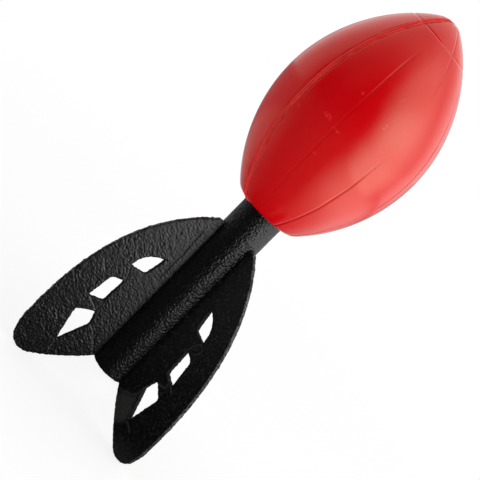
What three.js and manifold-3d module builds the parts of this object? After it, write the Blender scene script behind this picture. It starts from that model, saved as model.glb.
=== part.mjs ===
// A foam throwing toy: an oval foam head on a finned foam tail.
// Millimetres, +Z up. The toy stands nose up on the tips of its three fins.
// The origin is the centre of the tail shaft's cut end, and +Z runs through the nose.

import * as THREE from 'three';
import { mergeVertices } from 'three/addons/utils/BufferGeometryUtils.js';
import Module from 'manifold-3d';

// Tail shaft: an extruded foam rod, sawn square at both ends
const shaftDiameter = 27;
const shaftShowing = 131;

// Head: a foam moulding, widest a little behind its middle
const headDiameter = 95;
const noseOvalLength = 78;
const headBackLength = 67;
const backOvalLength = 81;
const ovalPower = 1.5;
const headFaceRounding = 3;
const socketDepth = 45;

// Nose tip: the oval gives way to a blunt, rounded end
const noseTipRadius = 6.3;
const noseTipTrim = 1.4;
const noseTipFlatShare = 0.64;

// Mould lines on the head: two raised parting lines and the shallow grooves between them
const mouldLines = 10;
const partingAzimuth = THREE.MathUtils.degToRad(57);
const mouldLineHalfWidth = 0.8;
const partingHeight = 0.5;
const grooveDepth = 0.45;
const noseRingRadius = 19;

// Fins: die-cut foam sheet
const finCount = 3;
const firstFinAzimuth = THREE.MathUtils.degToRad(90);
const finThickness = 3;
const finRootLength = 111;
const finHeight = 47;
const finSweep = 23.8;
const finFrontStep = 3;
const finTabDepth = 5;
const cutoutCorner = 1.6;

// Glue film between a piece and what it is bonded into
const glueFilm = 0.3;
const cutOverrun = 1;

// Facets
const shaftSegments = 48;
const noseStations = 20;
const backStations = 15;
const cornerSteps = 4;
const panelSteps = 4;
const curveSteps = 14;

const shaftRadius = shaftDiameter / 2;
const headRadius = headDiameter / 2;
const widestHeight = shaftShowing + headBackLength;

const foam = (name, color, roughness) =>
  new THREE.MeshStandardMaterial({ name, color, roughness, metalness: 0 });
const headFoam = foam('red moulded foam', 0xc8102e, 0.55);
const shaftFoam = foam('black extruded foam', 0x1d1d1e, 0.8);
const finFoam = foam('black sheet foam', 0x242425, 0.9);

const wasm = await Module();
wasm.setup();

function toSolid(geometry) {
  const bare = geometry.clone();
  bare.deleteAttribute('normal');
  bare.deleteAttribute('uv');
  const merged = mergeVertices(bare);
  const vertProperties = new Float32Array(merged.attributes.position.array);
  const triVerts = new Uint32Array(merged.index.array);
  return new wasm.Manifold(new wasm.Mesh({ numProp: 3, vertProperties, triVerts }));
}

function toGeometry(solid) {
  const mesh = solid.getMesh();
  const geometry = new THREE.BufferGeometry();
  geometry.setAttribute('position', new THREE.BufferAttribute(mesh.vertProperties, 3));
  geometry.setIndex(new THREE.BufferAttribute(mesh.triVerts, 1));
  geometry.computeVertexNormals();
  return geometry;
}

// A point of the oval, by its angle from the widest section: a softly pointed end, not a round one
function ovalPoint(angle, length) {
  const radius = headRadius * Math.cos(angle) ** ovalPower;
  return new THREE.Vector2(radius, widestHeight + length * Math.sin(angle));
}

// The head's section from the socket's floor, over the flat tail face and along the oval to the nose
function headProfile() {
  const socketRadius = shaftRadius + glueFilm;
  const socket = [
    new THREE.Vector2(0, shaftShowing + socketDepth),
    new THREE.Vector2(socketRadius, shaftShowing + socketDepth),
    new THREE.Vector2(socketRadius, shaftShowing),
  ];
  const faceCorner = ovalPoint(-Math.asin(headBackLength / backOvalLength), backOvalLength);
  const backAngle = Math.asin((headBackLength - headFaceRounding) / backOvalLength);
  const softEdge = new THREE.QuadraticBezierCurve(
    new THREE.Vector2(faceCorner.x - headFaceRounding, shaftShowing),
    faceCorner,
    ovalPoint(-backAngle, backOvalLength),
  );
  const back = Array.from({ length: backStations - 1 }, (_, i) =>
    ovalPoint(-backAngle * (1 - (i + 1) / backStations), backOvalLength));
  return [...socket, ...softEdge.getPoints(cornerSteps), ...back, ...noseProfile()];
}

const angleAtRadius = (radius) => Math.acos((radius / headRadius) ** (1 / ovalPower));

// The front half of the oval, with three close stations where the ring round the nose is pressed in
function noseProfile() {
  const ringAngle = angleAtRadius(noseRingRadius);
  const ringStep = mouldLineHalfWidth / noseOvalLength / Math.cos(ringAngle);
  const tipAngle = angleAtRadius(noseTipRadius);
  const spread = Array.from({ length: noseStations }, (_, i) => (i / noseStations) * tipAngle)
    .filter((angle) => Math.abs(angle - ringAngle) > 2 * ringStep);
  const angles = [...spread, ringAngle - ringStep, ringAngle, ringAngle + ringStep];
  const points = angles.sort((a, b) => a - b).map((angle) => {
    const point = ovalPoint(angle, noseOvalLength);
    return angle === ringAngle ? point.setX(point.x - grooveDepth) : point;
  });
  return [...points, ...tipProfile(ovalPoint(tipAngle, noseOvalLength))];
}

// From the oval's last point to the middle of the blunt tip
function tipProfile(edge) {
  const middle = new THREE.Vector2(0, widestHeight + noseOvalLength - noseTipTrim);
  const shoulder = new THREE.Vector2(edge.x * noseTipFlatShare, middle.y);
  return new THREE.QuadraticBezierCurve(edge, shoulder, middle).getPoints(cornerSteps);
}

// The columns of the turned head: each mould line gets its centre and two close edges
function headColumns() {
  const panel = 2 * Math.PI / mouldLines;
  const edge = mouldLineHalfWidth / headRadius;
  const columns = [];
  for (let line = 0; line < mouldLines; line += 1) {
    const centre = partingAzimuth + line * panel;
    const parting = line % (mouldLines / 2) === 0;
    columns.push({ azimuth: centre, rise: parting ? partingHeight : -grooveDepth });
    columns.push({ azimuth: centre + edge, rise: 0 });
    for (let step = 1; step < panelSteps; step += 1) {
      columns.push({ azimuth: centre + (panel * step) / panelSteps, rise: 0 });
    }
    columns.push({ azimuth: centre + panel - edge, rise: 0 });
  }
  return columns;
}

// A revolve whose columns are then gathered round the mould lines, which rise or sink on the oval only
function makeHead() {
  const profile = headProfile();
  const columns = headColumns();
  const geometry = new THREE.LatheGeometry(profile, columns.length);
  const position = geometry.attributes.position;
  for (let index = 0; index < position.count; index += 1) {
    const column = columns[Math.floor(index / profile.length) % columns.length];
    const point = profile[index % profile.length];
    const onOval = point.x > shaftRadius + glueFilm && point.y > shaftShowing;
    const fade = Math.min(1, point.x / noseRingRadius);
    const radius = onOval ? point.x + column.rise * fade : point.x;
    position.setXYZ(
      index,
      radius * Math.cos(column.azimuth),
      radius * Math.sin(column.azimuth),
      point.y,
    );
  }
  return toGeometry(toSolid(geometry));
}

// One slot for a fin's root tab, open at the shaft's cut end
function slotCutter(azimuth) {
  const depth = finTabDepth + glueFilm;
  const width = finThickness + 2 * glueFilm;
  const length = finRootLength + glueFilm;
  const slot = new THREE.BoxGeometry(depth + cutOverrun, width, length + cutOverrun);
  slot.translate(shaftRadius - depth + (depth + cutOverrun) / 2, 0, (length - cutOverrun) / 2);
  slot.rotateZ(azimuth);
  return toSolid(slot);
}

function makeShaft() {
  const length = shaftShowing + socketDepth - glueFilm;
  const rod = new THREE.CylinderGeometry(shaftRadius, shaftRadius, length, shaftSegments);
  rod.rotateX(Math.PI / 2);
  rod.translate(0, 0, length / 2);
  const slotted = finAzimuths().reduce(
    (solid, azimuth) => solid.subtract(slotCutter(azimuth)),
    toSolid(rod),
  );
  return toGeometry(slotted);
}

// A closed loop of edges whose corners are softened, as a cutting rule bends
function softLoop(edges) {
  const points = [];
  edges.forEach((edge, index) => {
    const next = edges[(index + 1) % edges.length];
    const share = cutoutCorner / edge.getLength();
    const nextShare = cutoutCorner / next.getLength();
    for (let step = 0; step <= cornerSteps; step += 1) {
      points.push(edge.getPointAt(share + ((1 - 2 * share) * step) / cornerSteps));
    }
    const corner = new THREE.QuadraticBezierCurve(
      edge.getPointAt(1 - share),
      next.getPoint(0),
      next.getPointAt(nextShare),
    );
    points.push(...corner.getPoints(cornerSteps).slice(1, -1));
  });
  return points;
}

// Corners of the three cut-outs, front to rear: shares of the root length and of the fin's height
const frontCutoutShares = [[0.653, 0.192], [0.524, 0.254], [0.513, 0.466]];
const frontCutoutBulgeShare = [0.619, 0.462];
const middleCutoutShares = [[0.408, 0.538], [0.428, 0.382], [0.269, 0.406], [0.245, 0.6]];
const rearCutoutShares = [
  [0.15, 0.596], [0.195, 0.419], [0.195, 0.374], [0.12, 0.321], [-0.06, 0.502],
];

const onFin = ([along, up]) => new THREE.Vector2(along * finRootLength, up * finHeight);

function cutoutEdges(shares) {
  const corners = shares.map(onFin);
  return corners.map((corner, i) =>
    new THREE.LineCurve(corner, corners[(i + 1) % corners.length]));
}

// The front cut-out's outer edge bulges, so a curve takes the place of its last straight edge
function frontCutoutEdges() {
  const edges = cutoutEdges(frontCutoutShares);
  const outer = edges.pop();
  return [...edges, new THREE.QuadraticBezierCurve(outer.v1, onFin(frontCutoutBulgeShare), outer.v2)];
}

// Handles of the fin's three outer curves: shares of root length, of sweep and of height
const leadingShares = [[0.793, 0.731], [0.454, 1]];
const tipShares = [[-0.8, 1], [-1, 0.92]];
const tipRearShare = 0.71;
const trailingShares = [[-1, 0.62], [-0.38, 0.17]];
const widestPointShare = -0.01;

// The fin in its own plane: x runs along the shaft from its cut end, y stands up from the shaft
function finOutline() {
  const ahead = ([along, up]) => [along * finRootLength, up * finHeight];
  const behind = ([along, up]) => [along * finSweep, up * finHeight];
  const outline = new THREE.Shape();
  outline.moveTo(0, -finTabDepth);
  outline.lineTo(finRootLength, -finTabDepth);
  outline.lineTo(finRootLength, finFrontStep);
  outline.bezierCurveTo(
    ...ahead(leadingShares[0]), ...ahead(leadingShares[1]), widestPointShare * finRootLength, finHeight);
  outline.bezierCurveTo(
    ...behind(tipShares[0]), ...behind(tipShares[1]), -finSweep, tipRearShare * finHeight);
  outline.bezierCurveTo(
    ...behind(trailingShares[0]), ...behind(trailingShares[1]), 0, 0);
  const cutouts = [frontCutoutEdges(), cutoutEdges(middleCutoutShares), cutoutEdges(rearCutoutShares)];
  outline.holes = cutouts.map((edges) => new THREE.Path(softLoop(edges)));
  return outline;
}

function makeFin() {
  const fin = new THREE.ExtrudeGeometry(finOutline(), {
    depth: finThickness,
    bevelEnabled: false,
    curveSegments: curveSteps,
  });
  fin.translate(0, shaftRadius, -finThickness / 2);
  const along = new THREE.Vector3(0, 0, 1);
  const outward = new THREE.Vector3(1, 0, 0);
  const across = new THREE.Vector3(0, 1, 0);
  fin.applyMatrix4(new THREE.Matrix4().makeBasis(along, outward, across));
  return fin;
}

function finAzimuths() {
  return Array.from({ length: finCount }, (_, i) => firstFinAzimuth + (i * 2 * Math.PI) / finCount);
}

function named(name, geometry, material) {
  const mesh = new THREE.Mesh(geometry, material);
  mesh.name = name;
  return mesh;
}

const toy = new THREE.Group();
toy.name = 'throwing_toy';
toy.add(named('foam_head', makeHead(), headFoam));
toy.add(named('tail_shaft', makeShaft(), shaftFoam));
finAzimuths().forEach((azimuth, index) => {
  const fin = named(`fin_${index + 1}`, makeFin(), finFoam);
  fin.rotation.z = azimuth;
  toy.add(fin);
});

export default toy;
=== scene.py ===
# A foam throwing toy for track and field practice: a red moulded foam head on a black foam
# tail with three die-cut fins. Everything is in metres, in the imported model's own frame:
# +Z runs through the nose, and the origin is the centre of the tail shaft's cut end.

import math

import bmesh
import bpy
import numpy as np
from mathutils import Matrix, Quaternion, Vector
from mathutils.bvhtree import BVHTree


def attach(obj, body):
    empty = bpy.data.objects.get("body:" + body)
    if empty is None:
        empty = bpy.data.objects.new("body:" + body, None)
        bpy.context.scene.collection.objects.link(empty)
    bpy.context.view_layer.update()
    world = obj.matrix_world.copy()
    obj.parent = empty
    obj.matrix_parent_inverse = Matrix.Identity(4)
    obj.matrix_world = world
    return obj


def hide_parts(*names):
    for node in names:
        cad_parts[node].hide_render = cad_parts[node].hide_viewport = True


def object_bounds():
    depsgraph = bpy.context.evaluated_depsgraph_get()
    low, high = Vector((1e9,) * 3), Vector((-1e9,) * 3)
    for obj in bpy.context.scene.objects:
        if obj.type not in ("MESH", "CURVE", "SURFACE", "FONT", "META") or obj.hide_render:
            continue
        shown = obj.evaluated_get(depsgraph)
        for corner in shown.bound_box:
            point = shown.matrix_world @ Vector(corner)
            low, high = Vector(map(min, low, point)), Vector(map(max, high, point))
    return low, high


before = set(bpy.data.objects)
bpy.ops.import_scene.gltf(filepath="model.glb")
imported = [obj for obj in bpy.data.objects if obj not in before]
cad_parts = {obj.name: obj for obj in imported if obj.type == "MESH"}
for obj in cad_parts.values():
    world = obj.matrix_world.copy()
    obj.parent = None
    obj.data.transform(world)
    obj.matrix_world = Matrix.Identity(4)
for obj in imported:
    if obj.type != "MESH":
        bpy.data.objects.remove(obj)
cad_box = [list(corner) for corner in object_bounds()]

MM = 0.001
BODY = "root"
MERGE_DISTANCE = 0.001 * MM

# A pattern's values as heights above and below the surface
CENTRED = {"To Min": -0.5, "To Max": 0.5}

# Head: an oval with a soft point, moulded round a socket for the shaft
HEAD_RADIUS = 47.5 * MM
WIDEST_HEIGHT = 198 * MM
NOSE_OVAL_LENGTH = 78 * MM
BACK_LENGTH = 67 * MM
BACK_OVAL_LENGTH = 81 * MM
OVAL_POWER = 1.5
FACE_ROUNDING = 3 * MM
NOSE_TIP_RADIUS = 6.3 * MM
NOSE_TIP_TRIM = 1.4 * MM
NOSE_TIP_FLAT_SHARE = 0.64
SOCKET_DEPTH = 45 * MM
GLUE_FILM = 0.3 * MM

# Mould lines on the head
MOULD_LINES = 10
PARTING_AZIMUTH = math.radians(57)
PANEL_ANGLE = 2 * math.pi / MOULD_LINES
PARTING_EVERY = 5
PARTING_DRIFT = math.radians(3)
CORE_LEAN = 0.029
CORE_LEAN_AZIMUTH = math.radians(9)
CORE_OFFSET_SHARE = 0.5
NOSE_RING_RADIUS = 20.4 * MM

# Section of the flash left along a parting line, from its middle outwards: shares of its half
# width, and heights. The last height is the level of the skin.
FLASH_SECTION = [(0.0, 0.1), (0.18, 0.4), (0.4, 1.0), (0.56, 0.6), (0.74, 0.1), (1.0, 0.45)]

# How deep each mould line is pressed, by its number from the parting line: heights in
# millimetres and shares of the full depth. Where the photograph shows a line it sets them.
LINE_STRENGTHS = [
    [(131, 1.0), (275, 1.0)],
    [(131, 0.9), (190, 0.7), (246, 0.8), (258, 0.3)],
    [(131, 0.7), (175, 0.9), (225, 0.5), (262, 0.7)],
    [(131, 0.9), (160, 0.5), (200, 0.8), (256, 0.0)],
    [(131, 0.8), (215, 0.8), (262, 0.6)],
    [(131, 1.0), (275, 1.0)],
    [(131, 0.35), (175, 0.5), (240, 0.6), (253, 0.0)],
    [(131, 1.0), (180, 0.9), (202, 0.1), (234, 0.1), (246, 0.7), (262, 0.6)],
    [(131, 0.9), (215, 0.8), (256, 0.3)],
    [(131, 0.6), (170, 0.9), (240, 0.9), (254, 0.2)],
]

# Marks of use on the head: azimuth in degrees, height and radius in millimetres, and how the
# mark is squeezed along X, Y and Z
SCUFFS = [
    (264.8, 195.9, 2.6, (0.7, 1.0, 1.4)),
    (274.4, 193.9, 2.2, (0.6, 1.0, 2.6)),
    (274.5, 177.7, 1.6, (0.7, 1.0, 2.0)),
    (293.6, 228.6, 1.0, (1.0, 1.0, 1.0)),
    (292.2, 227.1, 0.9, (1.0, 1.0, 1.2)),
    (295.3, 213.0, 1.2, (0.7, 1.0, 1.8)),
    (295.2, 211.0, 1.1, (1.0, 1.0, 1.0)),
    (304.2, 201.7, 1.2, (0.8, 1.0, 1.2)),
    (270.0, 216.3, 1.3, (1.0, 1.0, 1.0)),
    (245.0, 189.1, 1.2, (1.0, 1.0, 1.0)),
    (18.0, 214.0, 1.4, (1.0, 0.7, 1.6)),
    (41.0, 171.0, 2.0, (1.0, 0.6, 1.3)),
    (118.0, 205.0, 1.8, (0.7, 1.0, 2.0)),
    (152.0, 183.0, 1.3, (1.0, 1.0, 1.0)),
    (196.0, 222.0, 1.6, (1.0, 0.8, 1.9)),
]
# Pits: dots painted darker red, a painted shade standing for small dents that the mesh doesn't
# have
PITS = [
    (310.0, 193.5, 0.8, (1.0, 1.0, 1.0)),
    (311.1, 208.7, 0.9, (2.2, 1.0, 0.8)),
    (84.0, 228.0, 0.8, (1.0, 1.0, 1.0)),
    (171.0, 158.0, 0.9, (1.0, 1.0, 1.0)),
]

# The head's mesh: stations up its section, and columns gathered round each mould line
ROW_GAP = 0.62 * MM
RING_ROW_GAP = 0.16 * MM
SOCKET_ROW_GAP = 4 * MM
RING_ROW_SPREAD = 2 * MM
COLUMNS_PER_PANEL = 28
COLUMN_GATHERING = 0.92
SECTION_SAMPLES = 1500

# Tail shaft: an extruded rod with a slot for each fin's root tab
SHAFT_RADIUS = 13.5 * MM
SHAFT_SHOWING = 131 * MM
SHAFT_SEGMENTS = 192
SLOT_DEPTH = 5.3 * MM
SLOT_WIDTH = 3.6 * MM
SLOT_LENGTH = 111.3 * MM
CUT_OVERRUN = 1 * MM
SHAFT_VOXEL = 0.55 * MM

# Fins: the three stand 120 degrees apart, and all are made at the first one's place
FIN_COUNT = 3
FIRST_FIN_AZIMUTH = math.radians(90)
FIN_VOXEL = 0.4 * MM
CREASE_WIDTH = 0.4 * MM
EDGE_FACING = 0.75
EDGE_CLEARANCE = 0.6 * MM

# Creases in each fin, as the sheet was folded and over-cut: millimetres along the shaft from
# its cut end, and millimetres up from the shaft
ROOT_CREASE = [(62, 4.5), (71, 4.9), (80, 4.7), (90, 5.2), (99, 5.4)]
CUTOUT_LINK = [(47.5, 17.9), (52.0, 19.2), (56.9, 21.8)]
FIN_CREASES = {
    "fin_1": [
        ROOT_CREASE,
        CUTOUT_LINK,
        [(21.6, 19.6), (26.0, 18.4), (29.9, 19.0)],
        [(70, 31), (63, 27), (60, 22)],
    ],
    "fin_2": [
        ROOT_CREASE,
        CUTOUT_LINK,
        [(27.5, 26.2), (26.1, 24.0), (24.8, 21.2), (23.0, 18.9)],
        [(21.6, 18.6), (25.6, 18.3), (29.9, 18.6)],
        [(24.2, 27.7), (27.0, 27.9)],
        [(-6.7, 23.5), (-9.8, 22.8), (-12.9, 22.4)],
        [(51.0, 35.9), (48.2, 33.6), (45.8, 30.7)],
        [(14.1, 14.5), (11.6, 10.5), (6.5, 6.0), (1.0, 1.8)],
        [(9.1, 35.1), (4.8, 31.4)],
    ],
    "fin_3": [
        [(56.4, 22.0), (55.0, 25.1), (53.0, 25.8), (49.3, 23.9)],
        [(56.4, 22.0), (51.9, 19.0), (48.0, 18.4), (47.5, 17.9)],
        [(29.9, 19.4), (28.1, 25.7), (23.9, 25.4), (21.6, 19.6)],
        [(28.1, 25.7), (25.8, 31.8)],
        [(-0.9, 6.1), (1.8, 8.2), (4.5, 13.3), (8.3, 15.4), (13.0, 15.2)],
        [(-6.7, 23.5), (-7.2, 27.0), (-8.4, 30.2)],
    ],
}
FIN_SEEDS = {"fin_1": 3.1, "fin_2": 11.7, "fin_3": 27.4}

# The corner of a fin that was folded back, where the sheet is painted greyer, in the creases' own
# measure
FOLDED_CORNERS = {
    "fin_3": [(-2.0, 4.0), (1.8, 8.2), (4.5, 13.3), (9.3, 16.0), (4.0, 19.0), (-2.0, 22.0),
              (-7.0, 23.5), (-12.0, 21.5), (-16.0, 17.0), (-18.0, 12.0), (-12.0, 4.0)],
}
FOLD_SOFTNESS = 2.5 * MM

# Camera, at the photograph's angle: it is rolled, so the toy lies across the frame
CAMERA_PLACE = Vector((0.08596, -0.54787, 0.22679))
CAMERA_AIM = Vector((0.00108, 0.00017, 0.10890))
CAMERA_ROLL = math.radians(44.8)
CAMERA_LENS = 75
CAMERA_SENSOR = 36

# Studio: a large soft box at the right of the toy in a white room that is dark only behind the
# camera. Angles are in degrees, lengths in metres, and a brightness of 1 is white.
STUDIO_CENTRE = Vector((0, 0, 0.13))
WHITE = (1.0, 1.0, 1.0, 1.0)

# Lamps: azimuth, elevation, distance, width, height, brightness, and the share of each half
# of a lamp that dims towards its edge
SOFT_BOXES = {
    "soft box": (-19, 8, 0.5, 1.0, 0.94, 1.82, 0.85),
    "side panel": (45, 10, 0.8, 1.3, 1.3, 0.75, 0.9),
    "top panel": (-25, 70, 0.8, 0.8, 0.8, 0.15, 0.9),
    "fill panel": (215, 55, 0.9, 1.2, 1.2, 1.05, 0.3),
}
UNREFLECTED_LAMP = "fill panel"

# The room as light: its dark end, and how it darkens as one faces that end
DARK_END_AZIMUTH = 250
DARK_END = {"From Min": 0.1, "From Max": 0.8, "To Min": 0.5, "To Max": 0.01}
# Its brighter parts: azimuth, elevation, reach and brightness
ROOM_GLOWS = [(-24, 37, 43, 0.95), (60, 50, 50, 0.4), (115, 36, 50, 0.5)]

# How bright the floor looks in a glossy surface: azimuth, the shares of facing it between which
# it brightens, and brightness. It dims near the toy, where the toy shades it, and far away.
FLOOR_GLOWS = [(-4, 0.35, 1.1, 1.9), (75, 0.6, 1.0, 0.7), (155, 0.3, 1.0, 0.42)]
FLOOR_NEAR = {"From Min": 0.07, "From Max": 0.34, "To Min": 0.12, "To Max": 1.0}
FLOOR_FAR = {"From Min": 0.45, "From Max": 0.8, "To Min": 1.0, "To Max": 0.5}
# How much of the floor's own shade gives way to plain white in the camera's view
FLOOR_WHITENESS = {"From Min": 0.2, "From Max": 0.7, "To Min": 0.8, "To Max": 1.0}
FLOOR_HALF_WIDTH = 6.0


def linear(hex_colour):
    """An sRGB hex colour as the linear RGBA that Blender's sockets take."""
    channels = [int(hex_colour[i:i + 2], 16) / 255 for i in (1, 3, 5)]
    curve = [c / 12.92 if c <= 0.04045 else ((c + 0.055) / 1.055) ** 2.4 for c in channels]
    return (*curve, 1.0)


def add(tree, kind, inputs=(), **settings):
    """Adds a node. An input is a value, a socket, or a node, which gives its first output."""
    node = tree.nodes.new(kind)
    for name, value in settings.items():
        setattr(node, name, value)
    for key, value in dict(inputs).items():
        if isinstance(value, bpy.types.Node):
            value = next(socket for socket in value.outputs if socket.enabled)
        if isinstance(value, bpy.types.NodeSocket):
            tree.links.new(value, node.inputs[key])
        else:
            node.inputs[key].default_value = value
    return node


def new_piece(name, data):
    """An object of its own in the scene: a piece of the toy, a lamp or the camera."""
    piece = bpy.data.objects.new(name, data)
    bpy.context.scene.collection.objects.link(piece)
    return piece


def settle(piece):
    """Turns what the piece's modifiers make into its plain mesh."""
    depsgraph = bpy.context.evaluated_depsgraph_get()
    made = piece.evaluated_get(depsgraph)
    mesh = bpy.data.meshes.new_from_object(
        made, preserve_all_data_layers=True, depsgraph=depsgraph)
    piece.modifiers.clear()
    piece.data = mesh
    mesh.name = piece.name
    mesh.polygons.foreach_set("use_smooth", [True] * len(mesh.polygons))


def shape_with(piece, tree, values):
    """Runs a node tree on the piece with its named inputs set, and keeps the result."""
    modifier = piece.modifiers.new(tree.name, "NODES")
    modifier.node_group = tree
    for name, value in values.items():
        modifier[tree.interface.items_tree[name].identifier] = value
    settle(piece)


def remesh(piece, voxel):
    modifier = piece.modifiers.new("even mesh", "REMESH")
    modifier.mode = "VOXEL"
    modifier.voxel_size = voxel
    settle(piece)


def start_tree(name, inputs):
    """A geometry tree with named inputs: returns it and the inputs' sockets."""
    tree = bpy.data.node_groups.new(name, "GeometryNodeTree")
    tree.interface.new_socket("Geometry", in_out="OUTPUT", socket_type="NodeSocketGeometry")
    tree.interface.new_socket("Geometry", in_out="INPUT", socket_type="NodeSocketGeometry")
    for label, value in inputs.items():
        kind = "NodeSocketInt" if isinstance(value, int) else "NodeSocketFloat"
        socket = tree.interface.new_socket(label, in_out="INPUT", socket_type=kind)
        socket.default_value = value
    return tree, add(tree, "NodeGroupInput").outputs


def pattern(tree, size, noise, change, **settings):
    """A noise pattern whose blots have a real size, with its values brought to another range."""
    scale = add(tree, "ShaderNodeMath", {0: 1.0, 1: size}, operation="DIVIDE")
    made = add(tree, "ShaderNodeTexNoise", {"Scale": scale, **noise}, **settings)
    return add(tree, "ShaderNodeMapRange", {"Value": made, **change})


def keep(tree, geometry, numbers):
    """Keeps numbers on the points under their names, for the material to read."""
    for name, number in numbers.items():
        geometry = add(tree, "GeometryNodeStoreNamedAttribute",
                       {"Geometry": geometry, "Name": name, "Value": number},
                       data_type="FLOAT", domain="POINT")
    return geometry


def end_tree(tree, geometry, material):
    """Every tree ends in plain geometry with its material set."""
    real = add(tree, "GeometryNodeRealizeInstances", {"Geometry": geometry})
    finished = add(tree, "GeometryNodeSetMaterial", {"Geometry": real, "Material": material})
    add(tree, "NodeGroupOutput", {"Geometry": finished})


def push_out(tree, geometry, height):
    """Moves the surface out along its normal by a height in metres."""
    normal = add(tree, "GeometryNodeInputNormal")
    offset = add(tree, "ShaderNodeVectorMath", {0: normal, "Scale": height}, operation="SCALE")
    return add(tree, "GeometryNodeSetPosition", {"Geometry": geometry, "Offset": offset})


def direction(azimuth, elevation=0):
    """The unit vector at an azimuth and an elevation in degrees."""
    turn, lift = math.radians(azimuth), math.radians(elevation)
    level = math.cos(lift)
    return Vector((level * math.cos(turn), level * math.sin(turn), math.sin(lift)))


# Head

def oval(angles, length):
    """Radius and height along the head's oval, by the angle from its widest section."""
    radius = HEAD_RADIUS * np.cos(angles) ** OVAL_POWER
    return np.column_stack([radius, WIDEST_HEIGHT + length * np.sin(angles)])


def stations(line, gaps):
    """Points along a line, as far apart as the gap at each of its points says."""
    steps = np.linalg.norm(np.diff(line, axis=0), axis=1)
    middle_gaps = (gaps[1:] + gaps[:-1]) / 2
    count = np.concatenate([[0], np.cumsum(steps / middle_gaps)])
    wanted = np.linspace(0, count[-1], math.ceil(count[-1]) + 1)
    return np.column_stack([np.interp(wanted, count, line[:, axis]) for axis in (0, 1)])


def angle_at(radius):
    return math.acos((radius / HEAD_RADIUS) ** (1 / OVAL_POWER))


def soft_corner(start, corner, end):
    """A smooth curve between two points that heads for the corner they share."""
    share = np.linspace(0, 1, SECTION_SAMPLES)[:, None]
    return (1 - share) ** 2 * start + 2 * share * (1 - share) * corner + share ** 2 * end


def head_section():
    """The head's section in two parts: the socket, and the skin from the tail face to the nose."""
    socket_radius = SHAFT_RADIUS + GLUE_FILM
    socket_line = np.array([
        (0, SHAFT_SHOWING + SOCKET_DEPTH),
        (socket_radius, SHAFT_SHOWING + SOCKET_DEPTH),
        (socket_radius, SHAFT_SHOWING),
    ])
    floor = stations(socket_line[:2], np.full(2, SOCKET_ROW_GAP))
    wall = stations(socket_line[1:], np.full(2, SOCKET_ROW_GAP))

    face_angle = math.asin(BACK_LENGTH / BACK_OVAL_LENGTH)
    edge_angle = math.asin((BACK_LENGTH - FACE_ROUNDING) / BACK_OVAL_LENGTH)
    corner, edge_end = oval(np.array([-face_angle, -edge_angle]), BACK_OVAL_LENGTH)
    edge = soft_corner(corner - np.array([FACE_ROUNDING, 0]), corner, edge_end)
    back = oval(np.linspace(-edge_angle, 0, SECTION_SAMPLES), BACK_OVAL_LENGTH)
    nose_end = angle_at(NOSE_TIP_RADIUS)
    nose = oval(np.linspace(0, nose_end, SECTION_SAMPLES), NOSE_OVAL_LENGTH)
    middle = np.array([0, WIDEST_HEIGHT + NOSE_OVAL_LENGTH - NOSE_TIP_TRIM])
    shoulder = np.array([NOSE_TIP_FLAT_SHARE * NOSE_TIP_RADIUS, middle[1]])
    tip = soft_corner(nose[-1], shoulder, middle)
    line = np.vstack([socket_line[2:], edge, back[1:], nose[1:], tip[1:]])
    ring = oval(np.array([angle_at(NOSE_RING_RADIUS)]), NOSE_OVAL_LENGTH)
    from_ring = np.linalg.norm(line - ring, axis=1)
    closeness = np.exp(-(from_ring / RING_ROW_SPREAD) ** 2)
    skin = stations(line, ROW_GAP + (RING_ROW_GAP - ROW_GAP) * closeness)
    return np.vstack([floor[:-1], wall[:-1]]), skin


HEAD_PROFILE = head_section()[1]


def gathered_azimuths():
    """Columns round the head, close together at each mould line."""
    share = np.arange(COLUMNS_PER_PANEL) / COLUMNS_PER_PANEL
    share = share - COLUMN_GATHERING * np.sin(2 * math.pi * share) / (2 * math.pi)
    number = np.arange(MOULD_LINES + 1)
    lines = PARTING_AZIMUTH + PANEL_ANGLE * number + PARTING_DRIFT * (number % PARTING_EVERY == 0)
    return (lines[:-1, None] + np.diff(lines)[:, None] * share).ravel()


def ring_of_points(radius, height, azimuths):
    """A level ring round the axis, its points at azimuths about the leaning mould cores."""
    offset = np.clip(CORE_LEAN * (height - WIDEST_HEIGHT),
                     -CORE_OFFSET_SHARE * radius, CORE_OFFSET_SHARE * radius)
    along = offset * np.cos(azimuths - CORE_LEAN_AZIMUTH)
    reach = np.sqrt(along ** 2 + radius ** 2 - offset ** 2) - along
    return np.column_stack([
        offset * math.cos(CORE_LEAN_AZIMUTH) + reach * np.cos(azimuths),
        offset * math.sin(CORE_LEAN_AZIMUTH) + reach * np.sin(azimuths),
        np.full(len(azimuths), height),
    ])


def turned_mesh(name, section, azimuths):
    """A closed turned mesh: quads between the stations, and a fan at each pole."""
    columns = len(azimuths)
    rings = [ring_of_points(radius, height, azimuths) for radius, height in section[1:-1]]
    points = np.vstack([(0, 0, section[0][1]), *rings, (0, 0, section[-1][1])])
    here = np.arange(columns)
    beside = np.roll(here, -1)
    start = 1 + columns * np.arange(len(rings) - 1)[:, None]
    quads = np.stack([start + here, start + beside,
                      start + columns + beside, start + columns + here], axis=-1)
    last = len(points) - 1
    top = last - columns
    faces = [(0, 1 + b, 1 + h) for h, b in zip(here, beside)]
    faces += quads.reshape(-1, 4).tolist()
    faces += [(top + h, top + b, last) for h, b in zip(here, beside)]
    mesh = bpy.data.meshes.new(name)
    mesh.from_pydata(points.tolist(), [], faces)
    return mesh


def line_strengths(points):
    """How strongly the nearest mould line is pressed at each point."""
    turn = np.arctan2(points[:, 1], points[:, 0]) - PARTING_AZIMUTH
    nearest = np.round(turn / PANEL_ANGLE).astype(int) % MOULD_LINES
    strengths = np.zeros(len(points))
    for line, stops in enumerate(LINE_STRENGTHS):
        heights, shares = np.array(stops).T
        here = nearest == line
        strengths[here] = np.interp(points[here, 2], heights * MM, shares)
    return strengths


def mark(mesh, name, values):
    """Keeps one number for each point of the mesh under a name."""
    mesh.attributes.new(name, "FLOAT", "POINT").data.foreach_set("value", values)


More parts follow.
